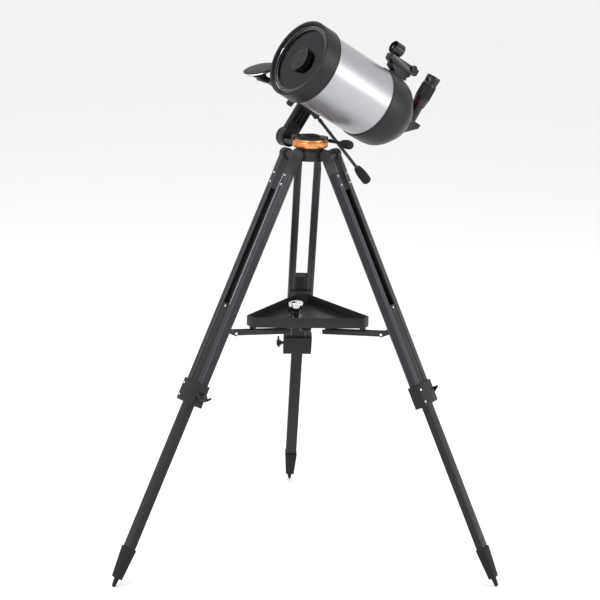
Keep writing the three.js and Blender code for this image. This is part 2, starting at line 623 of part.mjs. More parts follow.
// The dovetail runs along the tube's far side, on a stand-off at each end.
function buildDovetail() {
  const bar = block(-256, -30, -107, -95, -21, 21);
  const frontFoot = block(-60, -46, -96, -78, -16, 16);
  const rearFoot = block(-256, -238, -96, -78, -16, 16);
  const tubeRound = cylinderX(TUBE_OUTER + GAP, -232, -44, 0, 0, 72);
  const ringRound = cylinderX(RING_OUTER + GAP, -FRONT_RING_LENGTH - GAP, 20, 0, 0, 72);
  const cellRound = cylinderX(REAR_OUTER + GAP, -300, -232, 0, 0, 72);
  const dovetail = cut(join(bar, frontFoot, rearFoot), tubeRound, ringRound, cellRound);
  place('dovetail_bar', dovetail, blackMetal, tube);
}

function buildSaddle() {
  const body = block(-245, -105, -126, -97, -33, 33);
  const channel = block(-250, -100, -107 - GAP, -90, -21 - GAP, 21 + GAP);
  place('saddle', cut(body, channel), blackMetal, tube);
  const knob = turnZ([[0, 0], [4, 0], [4, 24], [8.5, 25], [8.5, 46], [7, 49], [0, 49]], 20);
  const saddleKnob = place('saddle_knob', knob, blackPlastic, tube);
  saddleKnob.position.set(SADDLE_KNOB_X, -113, -33 - 2);
  saddleKnob.rotation.x = Math.PI - SADDLE_KNOB_TILT;
  const near = ARM_NEAR - TUBE_FRONT[1];
  const far = ARM_FAR - TUBE_FRONT[1];
  const hub = cylinderY(25, near + GAP, -126 - GAP, -PIVOT_U, 0, 24);
  const axle = cylinderY(12, far - 4, near + 5, -PIVOT_U, 0, 24);
  const cap = cylinderY(20, far - 8, far - GAP, -PIVOT_U, 0, 28);
  place('altitude_hub', join(hub, axle, cap), blackMetal, tube);
}

// The dock holds a phone flat above a mirror that looks forward at 45 degrees.
function buildDock() {
  const flange = block(-105 + GAP, -96, -126, -108, -57, 20);
  const bar = block(-105 + GAP, -40, -158, -108, -57, -47);
  const shelfPost = block(-100, -74, -158, -138, -50, DOCK_BOTTOM - GAP);
  const mirrorPost = block(-46, -10, -158, -135, -61, -47);
  const plate = cylinderZ(DOCK_MIRROR_RADIUS - 2, -6, -3.3 - GAP, 0, 0, 32);
  const holder = join(plate, block(-9, 9, -10, 10, -27, -5)).rotateY(Math.PI / 4).translate(...MIRROR_AT);
  const room = cylinderZ(MIRROR_COVER_RADIUS + 1, -3.3 - GAP, 3, 0, 0, 36);
  room.rotateY(Math.PI / 4).translate(...MIRROR_AT);
  place('dock_bracket', cut(join(flange, bar, shelfPost, mirrorPost, holder), room), blackPlastic, tube);
  const shelfTop = DOCK_BOTTOM + 6;
  const shelf = block(-148, -62, -197, -128, DOCK_BOTTOM, shelfTop);
  const lip = block(-148, -145, -197, -128, shelfTop - 1, shelfTop + 10);
  place('dock_base', join(shelf, lip), blackPlastic, tube);
  const jaw = block(-130, -86, -203, -197 - GAP, DOCK_BOTTOM - 4, shelfTop + 11);
  const stem = block(-105, -90, -200, -162, DOCK_BOTTOM - 4, DOCK_BOTTOM - GAP);
  place('phone_clamp', join(jaw, stem), blackPlastic, tube);
  const seat = frame(tube, MIRROR_AT, [0, Math.PI / 4, 0]);
  place('dock_mirror', cylinderZ(DOCK_MIRROR_RADIUS, -3.3, -0.3, 0, 0, 32), mirrorGlass, seat);
  place('mirror_cover', cylinderZ(MIRROR_COVER_RADIUS, 0, 2.6, 0, 0, 36), blackPlastic, seat);
}

buildTubeAssembly();
buildDiagonal();
buildFinder();
buildDovetail();
buildSaddle();
buildDock();

export default object;
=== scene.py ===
"""The looks of a Schmidt-Cassegrain telescope on a one-arm altazimuth mount and an aluminium tripod."""

import json
import math

import bmesh
import bpy
from mathutils import Matrix, Vector

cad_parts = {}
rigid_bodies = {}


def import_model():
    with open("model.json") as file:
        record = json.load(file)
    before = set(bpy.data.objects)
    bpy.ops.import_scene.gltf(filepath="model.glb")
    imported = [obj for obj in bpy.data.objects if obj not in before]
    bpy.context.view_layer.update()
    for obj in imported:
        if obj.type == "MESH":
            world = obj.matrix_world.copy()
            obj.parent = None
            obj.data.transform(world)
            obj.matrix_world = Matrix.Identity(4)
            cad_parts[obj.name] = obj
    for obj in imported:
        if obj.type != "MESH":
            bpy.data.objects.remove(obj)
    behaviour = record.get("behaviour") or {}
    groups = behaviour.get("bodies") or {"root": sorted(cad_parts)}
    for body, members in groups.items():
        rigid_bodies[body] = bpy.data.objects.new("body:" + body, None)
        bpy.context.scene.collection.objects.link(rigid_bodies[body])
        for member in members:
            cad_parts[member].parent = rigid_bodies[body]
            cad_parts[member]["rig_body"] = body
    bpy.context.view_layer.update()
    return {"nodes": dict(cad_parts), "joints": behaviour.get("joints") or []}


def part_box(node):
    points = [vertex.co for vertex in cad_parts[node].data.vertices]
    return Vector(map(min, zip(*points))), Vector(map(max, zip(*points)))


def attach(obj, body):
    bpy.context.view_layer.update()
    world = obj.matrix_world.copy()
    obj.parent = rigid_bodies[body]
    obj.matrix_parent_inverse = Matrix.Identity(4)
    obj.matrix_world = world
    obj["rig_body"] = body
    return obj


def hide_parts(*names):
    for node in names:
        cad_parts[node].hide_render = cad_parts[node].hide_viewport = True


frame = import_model()
JOINTS = {joint["name"]: joint for joint in frame["joints"]}
MM = 0.001
LEGS = (1, 2, 3)

# rails and lower legs, in a leg's own frame
RAIL_HALF_DEPTH = 10
RAIL_INNER, RAIL_OUTER = 15, 32.5
RAIL_TOP, RAIL_BOTTOM = -46, -629
RAIL_WALL = 2.2
LOWER_LEG_HALF_DEPTH, LOWER_LEG_HALF_WIDTH = 9, 14.6
LOWER_LEG_TOP, LOWER_LEG_BOTTOM = -385, -1030
SPREADER_PIVOT = (-40.4, 0, -443.7)
BOOT_NARROWING = 0.89                            # the boots are slimmer across than the CAD feet

# optical tube, behind its front face
TUBE_LINING_RADIUS = 87.2
REAR_FACE = 345.3
FOCUS_KNOB_AT = (-38, -8, REAR_FACE)             # up, left and back
FINDER_LENS_AT = (148.8, 0, 242)
FINDER_DIAL_AT = (-316, 12.3, 127)


# ---------------------------------------------------------------- frames of the object's parts
def joint_place(name):
    return Vector(JOINTS[name]["pos_m"])


def joint_axis(name):
    return Vector(JOINTS[name]["axis"]).normalized()


def axes(origin, x, y):
    """A frame from its origin, its X and its Y, with Z square to both."""
    x = x.normalized()
    z = x.cross(y).normalized()
    matrix = Matrix((x, z.cross(x), z)).transposed().to_4x4()
    matrix.translation = origin
    return matrix


DIAGONAL_BEHIND_FRONT = 377 * MM
FORWARD = joint_axis("tube_slide")
LEFT = -joint_axis("altitude_tilt")
TUBE = axes(joint_place("diagonal_turn") + FORWARD * DIAGONAL_BEHIND_FRONT, FORWARD, LEFT)
BACKWARDS = TUBE @ Matrix.Rotation(-math.pi / 2, 4, "Y")
EYEPIECE_AXIS = joint_axis("eyepiece_slide")
DIAGONAL = axes(joint_place("diagonal_turn"), FORWARD, EYEPIECE_AXIS.cross(FORWARD))
HEADING = Vector((FORWARD.x, FORWARD.y, 0)).normalized()
AXIS = joint_place("azimuth_turn")
HEAD = axes(Vector((AXIS.x, AXIS.y, 0)), HEADING, LEFT)


def leg_frame(number):
    """X points outwards, Y along the hinge and Z up the leg."""
    hinge = joint_axis(f"leg_{number}_fold")
    down = joint_axis(f"leg_{number}_extend")
    return axes(joint_place(f"leg_{number}_fold"), hinge.cross(-down), hinge)


def pointing(place, direction):
    """A frame at place whose Z points along direction."""
    matrix = direction.to_track_quat("Z", "Y").to_matrix().to_4x4()
    matrix.translation = place
    return matrix


# ---------------------------------------------------------------- materials
COLOUR_A, COLOUR_B, COLOUR_RESULT = 6, 7, 2      # a mix node's colour sockets


def finish(name, colour, roughness, metallic=0.0, grain=900.0, bump=0.12, stretch=(1, 1, 1), edge_wear_and_highlight=0.0,
           shade=0.22, **sockets):
    """A surface with broad shading, a fine grain in its relief and roughness, and lighter edges that stand
    partly for edge wear and partly for a painted highlight along the edges.
    """
    material = bpy.data.materials.new(name)
    material.use_nodes = True
    nodes, link = material.node_tree.nodes, material.node_tree.links.new
    shader = nodes["Principled BSDF"]
    place = nodes.new("ShaderNodeTexCoord")
    mapping = nodes.new("ShaderNodeMapping")
    mapping.inputs["Scale"].default_value = stretch
    link(place.outputs["Object"], mapping.inputs["Vector"])

    def noise(scale, detail):
        texture = nodes.new("ShaderNodeTexNoise")
        texture.inputs["Scale"].default_value = scale
        texture.inputs["Detail"].default_value = detail
        link(mapping.outputs["Vector"], texture.inputs["Vector"])
        return texture.outputs["Fac"]

    fine, broad = noise(grain, 3), noise(grain * 0.035, 5)
    blend = nodes.new("ShaderNodeMix")
    blend.data_type = "RGBA"
    blend.inputs[COLOUR_A].default_value = (*[c * (1 - shade) for c in colour], 1)
    blend.inputs[COLOUR_B].default_value = (*[min(1, c * (1 + shade)) for c in colour], 1)
    link(broad, blend.inputs["Factor"])
    paint = blend.outputs[COLOUR_RESULT]
    # lighter grey on sharp edges from pointiness: partly edge wear, partly a painted highlight along the edges
    if edge_wear_and_highlight:
        geometry = nodes.new("ShaderNodeNewGeometry")
        edge = nodes.new("ShaderNodeMapRange")
        edge.inputs["From Min"].default_value = 0.52
        edge.inputs["From Max"].default_value = 0.62
        edge.inputs["To Max"].default_value = edge_wear_and_highlight
        link(geometry.outputs["Pointiness"], edge.inputs["Value"])
        rubbed_and_highlit = nodes.new("ShaderNodeMix")
        rubbed_and_highlit.data_type = "RGBA"
        rubbed_and_highlit.inputs[COLOUR_B].default_value = (0.32, 0.32, 0.34, 1)
        link(edge.outputs["Result"], rubbed_and_highlit.inputs["Factor"])
        link(paint, rubbed_and_highlit.inputs[COLOUR_A])
        paint = rubbed_and_highlit.outputs[COLOUR_RESULT]
    link(paint, shader.inputs["Base Color"])
    rough = nodes.new("ShaderNodeMapRange")
    rough.inputs["To Min"].default_value = max(0.02, roughness * 0.8)
    rough.inputs["To Max"].default_value = min(1.0, roughness * 1.2)
    link(fine, rough.inputs["Value"])
    link(rough.outputs["Result"], shader.inputs["Roughness"])
    relief = nodes.new("ShaderNodeBump")
    relief.inputs["Strength"].default_value = bump
    relief.inputs["Distance"].default_value = 0.0004
    link(fine, relief.inputs["Height"])
    link(relief.outputs["Normal"], shader.inputs["Normal"])
    shader.inputs["Metallic"].default_value = metallic
    for socket, value in sockets.items():
        shader.inputs[socket.replace("_", " ")].default_value = value
    return material


ALONG_Z = (1, 1, 0.02)
CASTING = finish("black_casting", (0.009, 0.0095, 0.012), 0.42, 0.0, 1400, 0.3, edge_wear_and_highlight=0.1,
                 Specular_IOR_Level=0.25)
TUBE_END = finish("tube_end_casting", (0.011, 0.011, 0.012), 0.40, 0.0, 1600, 0.2, Specular_IOR_Level=0.25)
RAIL = finish("anodised_rail", (0.008, 0.0084, 0.012), 0.32, 0.2, 500, 0.10, ALONG_Z, edge_wear_and_highlight=0.12,
              Specular_IOR_Level=0.3)
LOWER = finish("anodised_lower_leg", (0.006, 0.0062, 0.0075), 0.36, 0.15, 500, 0.10, ALONG_Z, edge_wear_and_highlight=0.12,
               Specular_IOR_Level=0.22)
COPPER = finish("copper_ring", (0.72, 0.31, 0.125), 0.36, 1.0, 900, 0.05, (0.05, 0.05, 3), shade=0.05)
SILVER = finish("silver_tube", (0.37, 0.367, 0.385), 0.34, 0.8, 2200, 0.05, shade=0.04)
STEEL_BLACK = finish("black_steel", (0.008, 0.008, 0.009), 0.36, 0.0, 1200, 0.2, edge_wear_and_highlight=0.1,
                     Specular_IOR_Level=0.25)
STEEL = finish("bright_steel", (0.80, 0.80, 0.81), 0.25, 1.0, 1500, 0.06, shade=0.06)
PLASTIC = finish("black_plastic", (0.007, 0.0072, 0.008), 0.46, 0.0, 2600, 0.3, Specular_IOR_Level=0.25)
SMOOTH_PLASTIC = finish("satin_plastic", (0.008, 0.008, 0.009), 0.24, 0.0, 2600, 0.06,
                        Specular_IOR_Level=0.35)
GLOSS = finish("gloss_black", (0.006, 0.006, 0.007), 0.06, 0.0, 900, 0.01, Coat_Weight=0.8,
               Coat_Roughness=0.03)
# bright metal for a thin lip on the glossy black retainer: a painted highlight that stands in for the
# highlight arcs on its bevel
HIGHLIGHT_METAL = finish("painted_highlight_edge", (0.42, 0.42, 0.45), 0.12, 1.0, 900, 0.01, shade=0.04)
RUBBER = finish("rubber", (0.007, 0.007, 0.0075), 0.7, 0.0, 2000, 0.35, Specular_IOR_Level=0.25)
CHROME = finish("chrome", (0.80, 0.80, 0.82), 0.10, 1.0, 700, 0.01, shade=0.04)
MIRROR = finish("mirror_coating", (0.88, 0.90, 0.93), 0.03, 1.0, 300, 0.0, shade=0.02)
RED = finish("red_band", (0.40, 0.012, 0.03), 0.35, 0.1, 1500, 0.05)
FLOCK = finish("tube_lining", (0.004, 0.004, 0.005), 0.9, 0.0, 2500, 0.5, Specular_IOR_Level=0.2)
GLASS = finish("coated_glass", (0.28, 0.28, 0.38), 0.03, 0.0, 200, 0.0, shade=0.03, Transmission_Weight=1.0,
               IOR=1.3, Specular_IOR_Level=0.3)


# ---------------------------------------------------------------- mesh helpers
def piece(name, mesh, matrix, material, body, nodes=(), bevel=0.0, angle=32, smooth=True):
    """Puts a mesh that is made in millimetres in its frame, rounds its edges and ties it to its body."""
    mesh.transform(Matrix.Scale(MM, 4))
    thing = bpy.data.objects.new(name, mesh)
    bpy.context.scene.collection.objects.link(thing)
    thing.matrix_world = matrix
    if bevel:
        rounding = thing.modifiers.new("rounding", "BEVEL")
        rounding.width = bevel * MM
        rounding.segments = 3
        rounding.limit_method = "ANGLE"
        rounding.angle_limit = math.radians(angle)
        bpy.context.view_layer.update()
        graph = bpy.context.evaluated_depsgraph_get()
        thing.data = bpy.data.meshes.new_from_object(thing.evaluated_get(graph))
        thing.modifiers.clear()
    materials = material if isinstance(material, (list, tuple)) else [material]
    thing.data.materials.clear()
    for one in materials:
        thing.data.materials.append(one)
    if smooth:
        thing.data.shade_smooth()
        thing.data.set_sharp_from_angle(angle=math.radians(angle))
    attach(thing, body)
    if nodes:
        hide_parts(*([nodes] if isinstance(nodes, str) else nodes))
    return thing


def new_mesh(name, points, faces):
    mesh = bpy.data.meshes.new(name)
    mesh.from_pydata(points, [], faces)
    mesh.validate()
    edit = bmesh.new()
    edit.from_mesh(mesh)
    bmesh.ops.recalc_face_normals(edit, faces=edit.faces)
    edit.to_mesh(mesh)
    edit.free()
    return mesh


def turned(name, profile, segments=96):
    """A turned body about Z from (height, radius) points.

    A profile that doesn't start on the axis closes on itself."""
    solid = profile[0][1] == 0
    points, faces = [], []
    rings = []
    for height, radius in profile:
        if radius == 0:
            rings.append([len(points)])
            points.append((0, 0, height))
            continue
        rings.append(list(range(len(points), len(points) + segments)))
        for step in range(segments):
            turn = 2 * math.pi * step / segments
            points.append((radius * math.cos(turn), radius * math.sin(turn), height))
    pairs = list(zip(rings, rings[1:])) + ([] if solid else [(rings[-1], rings[0])])
    for low, high in pairs:
        for step in range(segments):
            after = (step + 1) % segments
            if len(low) == 1 and len(high) == 1:
                continue
            if len(low) == 1:
                faces.append((low[0], high[step], high[after]))
            elif len(high) == 1:
                faces.append((low[step], high[0], low[after]))
            else:
                faces.append((low[step], high[step], high[after], low[after]))
    return new_mesh(name, points, faces)


def extruded(name, outline, bottom, top):
    """A straight body along Z over an outline of (x, y) points."""
    count = len(outline)
    points = [(x, y, bottom) for x, y in outline] + [(x, y, top) for x, y in outline]
    faces = [tuple(range(count))[::-1], tuple(range(count, 2 * count))]
    faces += [(i, (i + 1) % count, (i + 1) % count + count, i + count) for i in range(count)]
    return new_mesh(name, points, faces)


def rounded_rectangle(half_x, half_y, radius, steps=5):
    outline = []
    for sign_x, sign_y, start in ((1, 1, 0), (-1, 1, 90), (-1, -1, 180), (1, -1, 270)):
        for step in range(steps + 1):
            turn = math.radians(start + 90 * step / steps)
            outline.append((sign_x * (half_x - radius) + radius * math.cos(turn),
                            sign_y * (half_y - radius) + radius * math.sin(turn)))
    return outline


def brick(name, low, high):
    mesh = bpy.data.meshes.new(name)
    edit = bmesh.new()
    bmesh.ops.create_cube(edit, size=1)
    edit.to_mesh(mesh)
    edit.free()
    size = Vector(high) - Vector(low)
    mesh.transform(Matrix.Translation((Vector(low) + Vector(high)) / 2) @ Matrix.Diagonal((*size, 1)))
    return mesh


def joined(name, parts):
    """One mesh from several."""
    edit = bmesh.new()
    for part in parts:
        edit.from_mesh(part)
    mesh = bpy.data.meshes.new(name)
    edit.to_mesh(mesh)
    edit.free()
    return mesh


def cad_copy(node, matrix):
    """A CAD node's shape in millimetres in a frame, with its flat faces made whole."""
    mesh = frame["nodes"][node].data.copy()
    mesh.transform(Matrix.Scale(1 / MM, 4) @ matrix.inverted())
    edit = bmesh.new()
    edit.from_mesh(mesh)
    bmesh.ops.remove_doubles(edit, verts=edit.verts, dist=0.002)
    bmesh.ops.dissolve_limit(edit, angle_limit=math.radians(1), verts=edit.verts, edges=edit.edges)
    edit.to_mesh(mesh)
    edit.free()
    return mesh


def refined(node, matrix, material, bevel=0.8, angle=32):
    """A CAD node's shape with rounded edges and its own finish."""
    body = frame["nodes"][node]["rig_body"]
    return piece(f"{node}_body", cad_copy(node, matrix), matrix, material, body, node, bevel, angle)


def screw(name, matrix, radius, height, body, material=STEEL):
    """A cap screw's head with a round socket recess, standing on the frame's Z."""
    profile = [(0, 0), (0, radius), (height * 0.7, radius), (height, radius * 0.8), (height, radius * 0.45),
               (height * 0.45, radius * 0.42), (height * 0.45, 0)]
    return piece(name, turned(name, profile, 24), matrix, material, body, angle=40)


def ribbed(name, profile, ribs, depth, bottom, top, segments=None):
    """A turned body whose side has ribs between two heights."""
    segments = segments or ribs * 4
    mesh = turned(name, profile, segments)
    for vertex in mesh.vertices:
        x, y, z = vertex.co
        reach = math.hypot(x, y)
        if bottom <= z <= top and reach > 1:
            wave = 0.5 - 0.5 * math.cos(math.atan2(y, x) * ribs)
            scale = (reach - depth * wave) / reach
            vertex.co = (x * scale, y * scale, z)
    return mesh


def at(matrix, x, y, z):
    return matrix @ Matrix.Translation(Vector((x, y, z)) * MM)


FACE_LEFT = Matrix.Rotation(-math.pi / 2, 4, "X")
FACE_FORWARD = Matrix.Rotation(math.pi / 2, 4, "Y")


# ---------------------------------------------------------------- optical tube
front_ring = [(12, 86), (2, 88), (0, 88.6), (0, 93.5), (0.6, 94.5), (2, 95), (39.5, 95), (40.2, 94.4),
              (41, 94.4), (41.7, 95), (44.2, 95), (45, 94.2), (45, 88.8), (20.4, 88.8), (20.4, 74),
              (17.3, 74), (17.3, 80), (12, 80)]
piece("front_ring", turned("front_ring", front_ring, 192), BACKWARDS, TUBE_END, "optical_tube",
      "front_cell")
retainer = [(8.4, 76.3), (8.4, 84.8), (9.1, 85.6), (11.7, 85.6), (11.7, 76)]
piece("retainer", turned("retainer", retainer, 192), BACKWARDS, GLOSS, "optical_tube",
      "retaining_ring")
for step in range(6):
    turn = math.radians(60 * step + 15)
    spot = at(BACKWARDS, 81 * math.cos(turn), 81 * math.sin(turn), 8.6) @ Matrix.Rotation(math.pi, 4, "X")
    screw(f"retainer_screw_{step + 1}", spot, 1.5, 1.0, "optical_tube", STEEL_BLACK)
# a thin bright metal lip on the retainer's bevel, a painted highlight standing in for the ring's highlight
# arcs
highlight_lip = [(8.0, 84.2), (7.7, 84.6), (7.9, 85.2), (8.2, 85.2), (8.2, 84.2)]
piece("retainer_highlight_lip", turned("retainer_highlight_lip", highlight_lip, 192), BACKWARDS, HIGHLIGHT_METAL, "optical_tube")
glass = [(12.3, 26), (12.3, 79.6), (17, 79.6), (17, 26)]
piece("corrector", turned("corrector", glass, 128), BACKWARDS, GLASS, "optical_tube",
      "corrector_plate")
holder = [(1.5, 0), (1.5, 26.8), (0.6, 27.2), (0, 27.6), (0, 29), (0.5, 29.5), (5.5, 29.5), (5.5, 24.5),
          (9, 24.5), (9, 31), (12, 31), (12, 25.5), (30, 25.5), (30, 23.4), (27, 23.4), (27, 0)]
piece("secondary_cap", ribbed("secondary_cap", holder, 60, 0.7, 0.55, 5.4, 480), BACKWARDS, SMOOTH_PLASTIC,
      "optical_tube", "secondary_holder")
for step in range(3):
    turn = math.radians(120 * step + 30)
    spot = at(BACKWARDS, 15 * math.cos(turn), 15 * math.sin(turn), 1.6) @ Matrix.Rotation(math.pi, 4, "X")
    screw(f"collimation_screw_{step + 1}", spot, 2.6, 1.5, "optical_tube", STEEL_BLACK)
tube_mesh = turned("silver_shell", [(20.7, 88.5), (233.2, 88.5), (233.2, 87), (20.7, 87)], 192)
for face in tube_mesh.polygons:
    if math.hypot(face.center.x, face.center.y) < TUBE_LINING_RADIUS:
        face.material_index = 1
piece("silver_shell", tube_mesh, BACKWARDS, [SILVER, FLOCK], "optical_tube", "main_tube")
refined("rear_cell", TUBE, TUBE_END, 0.5)
collar = [(345.3, 16.3), (345.3, 26.4), (345.9, 27), (348.8, 27), (349.4, 26.4), (351.3, 23), (357, 23),
          (357.3, 22.7), (357.3, 16.3)]
piece("thread_collar", ribbed("thread_collar", collar, 48, 0.7, 345.8, 349, 384), BACKWARDS, CASTING,
      "optical_tube", "visual_back")
knob = [(0, 0), (0, 10), (1, 11), (13.5, 11), (15.2, 10), (16, 8.6), (15.4, 8), (15.4, 0)]
piece("focuser_grip", ribbed("focuser_grip", knob, 28, 0.9, 0.8, 14, 224), at(BACKWARDS, *FOCUS_KNOB_AT),
      RUBBER, "focus_knob", "focus_knob")
refined("star_diagonal", TUBE, SMOOTH_PLASTIC, 1.4)
barrel = [(3, 0), (3, 15), (3.6, 15.7), (20.3, 15.7), (20.3, 14), (56, 14), (60, 16.5), (62, 16.7),
          (62.4, 16.2), (63, 16.2), (63.4, 16.8), (68, 17), (70, 17.4), (76, 18.5), (116, 18.5),
          (117.5, 18), (119, 16.5), (121, 17.4), (137, 18), (138.6, 17.2), (139, 15.5), (134, 12.5), (133, 12),
          (133, 0)]
piece("eyepiece_housing", turned("eyepiece_housing", barrel, 128), DIAGONAL, SMOOTH_PLASTIC, "eyepiece",
      "eyepiece")
for step, height in enumerate((62.4, 69.3)):
    band = [(height, 16.2), (height, 17.3), (height + 0.9, 17.6), (height + 0.9, 16.2)]
    piece(f"eyepiece_band_{step + 1}", turned("eyepiece_band", band, 96), DIAGONAL, RED, "eyepiece")
grip = [(80, 18.3), (80, 18.7), (80.5, 18.9), (112.5, 18.9), (113, 18.7), (113, 18.3)]
piece("eyepiece_grip", ribbed("eyepiece_grip", grip, 60, 0.45, 80.2, 112.8, 480), DIAGONAL, RUBBER,
      "eyepiece")
lens = [(133.1, 0), (133.1, 11.8), (133.6, 11.8), (134.6, 8), (135.2, 4), (135.3, 0)]
piece("eye_lens", turned("eye_lens", lens, 64), DIAGONAL, GLOSS, "eyepiece")

# ---------------------------------------------------------------- finder and dovetail
refined("finder_shoe", TUBE, PLASTIC, 1.2)
refined("finder_body", TUBE, SMOOTH_PLASTIC, 2.0)
hood = [(0, 14), (0, 16), (0.6, 16.5), (24, 16.5), (25, 15.8), (25, 14)]
piece("finder_ring", turned("finder_ring", hood, 96), at(BACKWARDS, *FINDER_LENS_AT), SMOOTH_PLASTIC,
      "optical_tube", "finder_hood")
window = [(7, 0), (7, 14), (8.2, 14), (8.2, 0)]
piece("finder_window", turned("finder_window", window, 64), at(BACKWARDS, *FINDER_LENS_AT), GLASS,
      "optical_tube")
dial = [(0, 0), (0, 8.4), (0.6, 9), (3.8, 9), (4.7, 8.2), (4.7, 3), (4.1, 2.4), (4.1, 0)]
piece("finder_switch", ribbed("finder_switch", dial, 24, 0.6, 0.5, 4, 192),
      at(TUBE, *FINDER_DIAL_AT) @ FACE_LEFT, PLASTIC, "finder_dial", "finder_dial")
refined("dovetail_bar", TUBE, CASTING, 0.8)
refined("saddle", TUBE, CASTING, 2.0)
refined("altitude_hub", TUBE, CASTING, 1.5)
saddle_grip = [(0, 0), (0, 4), (24, 4), (24.4, 7.8), (25, 8.5), (46, 8.5), (48.3, 7.4), (49, 6),
               (48.4, 5.4), (48.4, 0)]
piece("saddle_grip", ribbed("saddle_grip", saddle_grip, 18, 1.1, 24.5, 47.5, 216),
      pointing(joint_place("saddle_knob_turn"), joint_axis("saddle_knob_turn")), SMOOTH_PLASTIC,
    "saddle_knob",
      "saddle_knob")

# ---------------------------------------------------------------- phone dock
for node in ("dock_bracket", "dock_base", "phone_clamp"):
    refined(node, TUBE, PLASTIC, 1.2)
refined("mirror_cover", TUBE, PLASTIC, 0.7, 40)
refined("dock_mirror", TUBE, MIRROR, 0.3, 40)

# ---------------------------------------------------------------- mount head
ring_profile = [(1017, 22), (1017, 40.2), (1017.6, 41.2), (1019, 42.3), (1020, 42.6), (1029.6, 42.6),
                (1030.8, 42), (1032, 40.6), (1032.5, 37.6), (1035.6, 37), (1036, 36.6), (1036, 22)]
piece("copper_dial", turned("copper_dial", ring_profile, 192), HEAD, COPPER, "tripod_head",
      "azimuth_ring", angle=20)
cap_profile = [(984, 0), (984, 8), (1041.3, 8), (1041.3, 25.6), (1041.8, 26), (1042.8, 25.6), (1043.6, 24.4),
               (1045, 21.5), (1046.2, 18), (1047.2, 12), (1047.7, 6), (1047.8, 0)]
piece("pivot_cap", turned("pivot_cap", cap_profile, 96), HEAD, CASTING, "azimuth",
      "azimuth_spindle")
refined("tripod_hub", HEAD, CASTING, 1.4)
refined("turntable", HEAD, CASTING, 1.6)
refined("arm", HEAD, CASTING, 2.0)


def control(name, matrix, shaft, rod_start, grip_start, end, radius):
    """A slow-motion control: a thin turned rod with a soft ribbed grip."""
    swell = grip_start + (end - grip_start) * 0.55
    rod = [(0, 0), (0, 3.2), (shaft, 3.2), (shaft + 1, 5), (rod_start - 0.5, 5), (rod_start, 4.5),
           (rod_start + 1, 4.2), (grip_start + 1, 4.2), (grip_start + 1, 0)]
    piece(f"{name}_rod", turned(f"{name}_rod", rod, 48), matrix, STEEL_BLACK, name)
    soft = [(grip_start, 0), (grip_start, 4.2), (grip_start + 1, radius * 0.62), (grip_start + 4,
                                                                                  radius * 0.75)]
    for step in range(1, 9):
        share = step / 8
        height = grip_start + 4 + (swell - grip_start - 4) * share
        soft.append((height, radius * (0.75 + 0.25 * math.sin(math.pi / 2 * share))))
    soft += [(end - 7, radius), (end - 3, radius * 0.93), (end - 1, radius * 0.82), (end, radius * 0.66),
             (end, 0)]
    grip_mesh = ribbed(f"{name}_grip", soft, 14, radius * 0.08, grip_start + 5, end - 3, 224)
    piece(f"{name}_grip", grip_mesh, matrix, RUBBER, name, name)


ALTITUDE_CONTROL = pointing(joint_place("altitude_control_turn"), joint_axis("altitude_control_turn"))
AZIMUTH_CONTROL = pointing(joint_place("azimuth_control_turn"), joint_axis("azimuth_control_turn"))
control("altitude_control", at(ALTITUDE_CONTROL, 0, 0, -20), 76, 86, 253, 306, 12.3)
control("azimuth_control", AZIMUTH_CONTROL, 12, 17, 59, 96, 11)

# ---------------------------------------------------------------- tripod
refined("accessory_tray", HEAD, STEEL_BLACK, 0.8)
refined("spreader_hub", HEAD, STEEL_BLACK, 1.2)
low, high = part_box("spare_eyepiece")
SPARE = Matrix.Translation(((low.x + high.x) / 2, (low.y + high.y) / 2, low.z))
spare = [(0, 0), (0, 15.2), (0.6, 15.8), (14, 15.8), (14.4, 15.3), (15, 15.3), (15.4, 15.8), (20, 15.8),
         (21, 17.2), (22, 17.5), (43, 17.5), (44, 17.2), (46, 15.5), (46, 13), (44.5, 12), (44.5, 0)]
piece("spare_housing", turned("spare_housing", spare, 96), SPARE, CHROME, "tray",
      "spare_eyepiece")


def grooved(name, half_x, inner, outer, bottom, top, notch=0.9):
    """An aluminium rail with two long grooves in its outer face and one in each side."""
    middle = (inner + outer) / 2
    outline = [(-half_x, inner), (-half_x, middle - notch), (-half_x + notch, middle - notch * 0.6),
               (-half_x + notch, middle + notch * 0.6), (-half_x, middle + notch), (-half_x, outer)]
    for x in (-half_x * 0.45, half_x * 0.45):
        outline += [(x - notch, outer), (x - notch * 0.6, outer - notch), (x + notch * 0.6, outer - notch),
                    (x + notch, outer)]
    outline += [(half_x, outer), (half_x, middle + notch), (half_x - notch, middle + notch * 0.6),
                (half_x - notch, middle - notch * 0.6), (half_x, middle - notch), (half_x, inner),
                (half_x - RAIL_WALL, inner), (half_x - RAIL_WALL, outer - RAIL_WALL),
                (-half_x + RAIL_WALL, outer - RAIL_WALL),
                (-half_x + RAIL_WALL, inner)]
    return extruded(name, outline, bottom, top)


